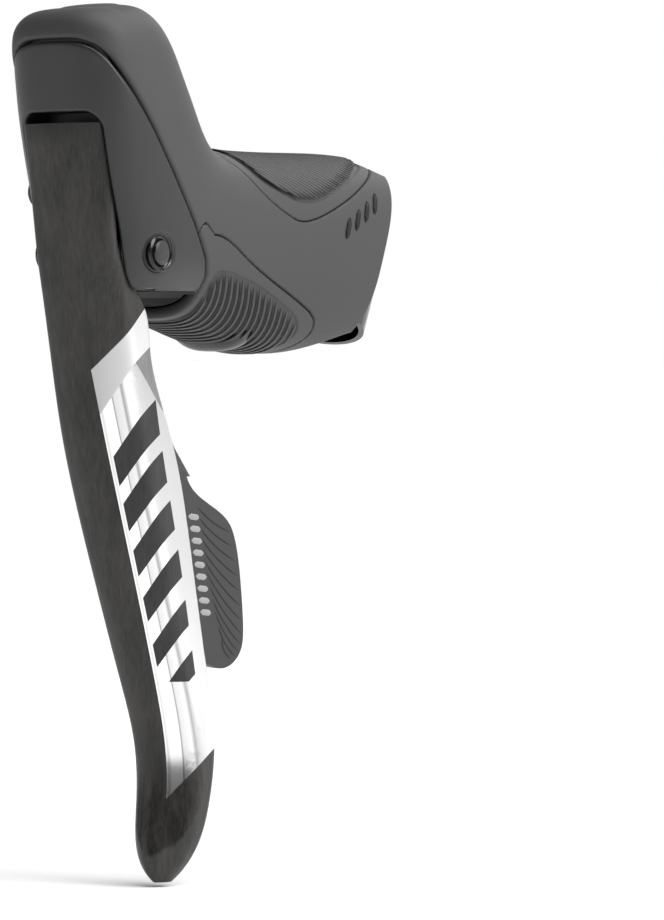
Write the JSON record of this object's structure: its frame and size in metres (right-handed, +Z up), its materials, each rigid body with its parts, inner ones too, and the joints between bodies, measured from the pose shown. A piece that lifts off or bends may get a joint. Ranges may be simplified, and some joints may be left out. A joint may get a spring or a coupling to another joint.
{
  "type": "brake shift lever",
  "caption": "Left-hand drop-bar brake and shift control: rubber hood over a clamped body with a tall reservoir horn, hollow brake blade and shift paddle.",
  "frame": {"origin": "centre of the handlebar clamp, on the bar's axis", "axes": "+Z up when the bicycle stands, +X to the outer side, +Y to the rear of the bicycle; the bar leans 25 degrees to the rear at its top"},
  "size_m": [0.0376, 0.1135, 0.1849],
  "materials": {
    "body_composite": "satin moulded composite",
    "hood_rubber": "matte ribbed rubber",
    "pin_steel": "ground",
    "screw_steel": "zinc plated",
    "cylinder_aluminium": "anodised",
    "spring_steel": "drawn wire",
    "bladder_rubber": "soft",
    "cap_aluminium": "dark anodised",
    "seal_rubber": "soft",
    "hose_nut_steel": "plated",
    "band_steel": "stainless strip",
    "bolt_steel": "dark plated",
    "board_laminate": "solder resist",
    "cell_steel": "nickel plated",
    "hatch_plastic": "satin",
    "light_lens": "clear light pipe",
    "blade_composite": "woven composite with a polished metal-look outer half",
    "carrier_aluminium": "forged, dark anodised",
    "bush_brass": "plain",
    "switch_plastic": "moulded",
    "roller_steel": "hardened",
    "plunger_plastic": "moulded",
    "paddle_plastic": "satin composite with moulded grooves",
    "button_plastic": "satin"
  },
  "bodies": {
    "body": {"main_body": "body_composite", "hood": "hood_rubber", "pivot_pin": "pin_steel", "pivot_lock_screw": "screw_steel", "master_cylinder": "cylinder_aluminium", "piston_spring": "spring_steel", "reservoir_bladder": "bladder_rubber", "reservoir_cap": "cap_aluminium", "reservoir_cap_screws": "screw_steel", "bleed_screw": "screw_steel", "bleed_screw_seal": "seal_rubber", "hose_nut": "hose_nut_steel", "clamp_band": "band_steel", "clamp_nut": "screw_steel", "clamp_bolt": "bolt_steel", "clamp_washer": "screw_steel", "main_board": "board_laminate", "coin_cell": "cell_steel", "battery_contact": "spring_steel", "hatch_seal": "seal_rubber", "battery_hatch": "hatch_plastic", "hatch_screws": "screw_steel", "button_board": "board_laminate", "status_light": "light_lens", "lever_return_spring": "spring_steel"},
    "brake_lever": {"lever_blade": "blade_composite", "lever_carrier": "carrier_aluminium", "carrier_screws": "screw_steel", "pivot_bushings": "bush_brass", "roller_pin": "pin_steel", "paddle_pin": "pin_steel", "paddle_switch": "switch_plastic", "paddle_return_spring": "spring_steel"},
    "cam_roller": {"cam_roller": "roller_steel"},
    "shift_paddle": {"shift_paddle": "paddle_plastic"},
    "switch_plunger": {"switch_plunger": "plunger_plastic"},
    "master_piston": {"master_piston": "cylinder_aluminium", "piston_seals": "seal_rubber"},
    "function_button": {"function_button": "button_plastic"},
    "reach_screw": {"reach_screw": "screw_steel"}
  },
  "joints": [
    {"name": "brake_lever_hinge", "type": "hinge", "parent": "body", "child": "brake_lever", "pos_m": [0, -0.08, 0.008], "axis": [1, 0, 0], "range_deg": [0, 22.5], "stiffness_Nm_per_rad": 0.9, "springref_deg": -34.38},
    {"name": "cam_roller_spin", "type": "hinge", "parent": "brake_lever", "child": "cam_roller", "pos_m": [0, -0.069, 0.008], "axis": [1, 0, 0], "continuous": true},
    {"name": "shift_paddle_hinge", "type": "hinge", "parent": "brake_lever", "child": "shift_paddle", "pos_m": [0.0044, -0.08, -0.01], "axis": [0, 1, 0], "range_deg": [0, 8], "stiffness_Nm_per_rad": 0.12, "springref_deg": -20.05},
    {"name": "switch_plunger_slide", "type": "slide", "parent": "brake_lever", "child": "switch_plunger", "axis": [-1, 0, 0], "range_m": [0, 0.0011]},
    {"name": "master_piston_slide", "type": "slide", "parent": "body", "child": "master_piston", "axis": [0, 0, 1], "range_m": [0, 0.0044], "deforming": ["piston_spring"]},
    {"name": "function_button_slide", "type": "slide", "parent": "body", "child": "function_button", "axis": [1, 0, 0], "range_m": [0, 0.0006], "stiffness_N_per_m": 900, "springref_m": -0.0008},
    {"name": "reach_screw_turn", "type": "hinge", "parent": "brake_lever", "child": "reach_screw", "pos_m": [0, -0.08, 0.024], "axis": [0, 1, 0], "range_deg": [-360, 360]}
  ],
  "couplings": [
    {"joint": "master_piston_slide", "follows": "brake_lever_hinge", "m_per_rad": 0.011},
    {"joint": "switch_plunger_slide", "follows": "shift_paddle_hinge", "m_per_rad": 0.007}
  ]
}
